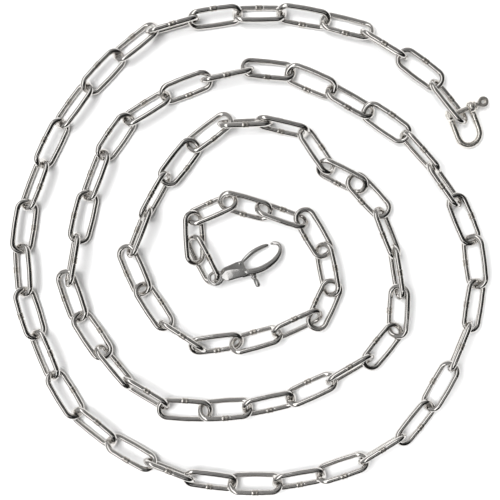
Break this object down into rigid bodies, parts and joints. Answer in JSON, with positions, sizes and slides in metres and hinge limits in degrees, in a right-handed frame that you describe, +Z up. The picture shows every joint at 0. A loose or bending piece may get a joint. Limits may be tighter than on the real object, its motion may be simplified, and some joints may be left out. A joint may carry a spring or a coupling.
{
  "type": "steel link chain with shackle and snap hook",
  "caption": "Length of round-wire oval-link steel chain laid flat in a spiral, with a screw-pin shackle on its outer end and a sprung snap hook on its inner end.",
  "frame": {"origin": "middle of the base of the whole laid chain, on the floor it lies on", "axes": "+Z up from the floor; +X towards the shackle side and +Y away from the viewer in the top view; the spiral runs anticlockwise inwards as seen from above"},
  "size_m": [0.3428, 0.3522, 0.0181],
  "materials": {
    "chain_steel": "polished round wire with a short weld mark on one side of each link",
    "shackle_steel": "cast and tumbled, satin, slightly warm",
    "hook_steel": "investment cast and polished, with soft facets"
  },
  "bodies": {
    "root": {"hook_body": "hook_steel", "hook_pin": "hook_steel", "link_03": "chain_steel", "link_06": "chain_steel", "link_09": "chain_steel", "link_12": "chain_steel", "link_15": "chain_steel", "link_18": "chain_steel", "link_21": "chain_steel", "link_24": "chain_steel", "link_27": "chain_steel", "link_30": "chain_steel", "link_33": "chain_steel", "link_36": "chain_steel", "link_39": "chain_steel", "link_42": "chain_steel", "link_45": "chain_steel", "link_48": "chain_steel", "link_51": "chain_steel", "link_54": "chain_steel", "link_57": "chain_steel", "link_60": "chain_steel", "link_63": "chain_steel", "link_66": "chain_steel", "link_69": "chain_steel", "link_72": "chain_steel", "link_75": "chain_steel", "link_78": "chain_steel", "link_81": "chain_steel", "links_01_02": "chain_steel", "links_04_05": "chain_steel", "links_07_08": "chain_steel", "links_10_11": "chain_steel", "links_13_14": "chain_steel", "links_16_17": "chain_steel", "links_19_20": "chain_steel", "links_22_23": "chain_steel", "links_25_26": "chain_steel", "links_28_29": "chain_steel", "links_31_32": "chain_steel", "links_34_35": "chain_steel", "links_37_38": "chain_steel", "links_40_41": "chain_steel", "links_43_44": "chain_steel", "links_46_47": "chain_steel", "links_49_50": "chain_steel", "links_52_53": "chain_steel", "links_55_56": "chain_steel", "links_58_59": "chain_steel", "links_61_62": "chain_steel", "links_64_65": "chain_steel", "links_67_68": "chain_steel", "links_70_71": "chain_steel", "links_73_74": "chain_steel", "links_76_77": "chain_steel", "links_79_80": "chain_steel", "shackle_bow": "shackle_steel"},
    "shackle_screw_pin": {"shackle_pin": "shackle_steel"},
    "gate": {"hook_gate": "hook_steel"}
  },
  "joints": [
    {"name": "shackle_pin_turn", "type": "hinge", "parent": "root", "child": "shackle_screw_pin", "pos_m": [0.15137, 0.09841, 0.0068], "axis": [0.9205, 0.3907, 0], "continuous": true},
    {"name": "hook_gate_hinge", "type": "hinge", "parent": "root", "child": "gate", "pos_m": [-0.00652, -0.01162, 0.00707], "axis": [-0.0964, 0.4142, 0.9051], "range_deg": [-18, 0], "stiffness_Nm_per_rad": 0.02, "springref_deg": 17.19}
  ]
}
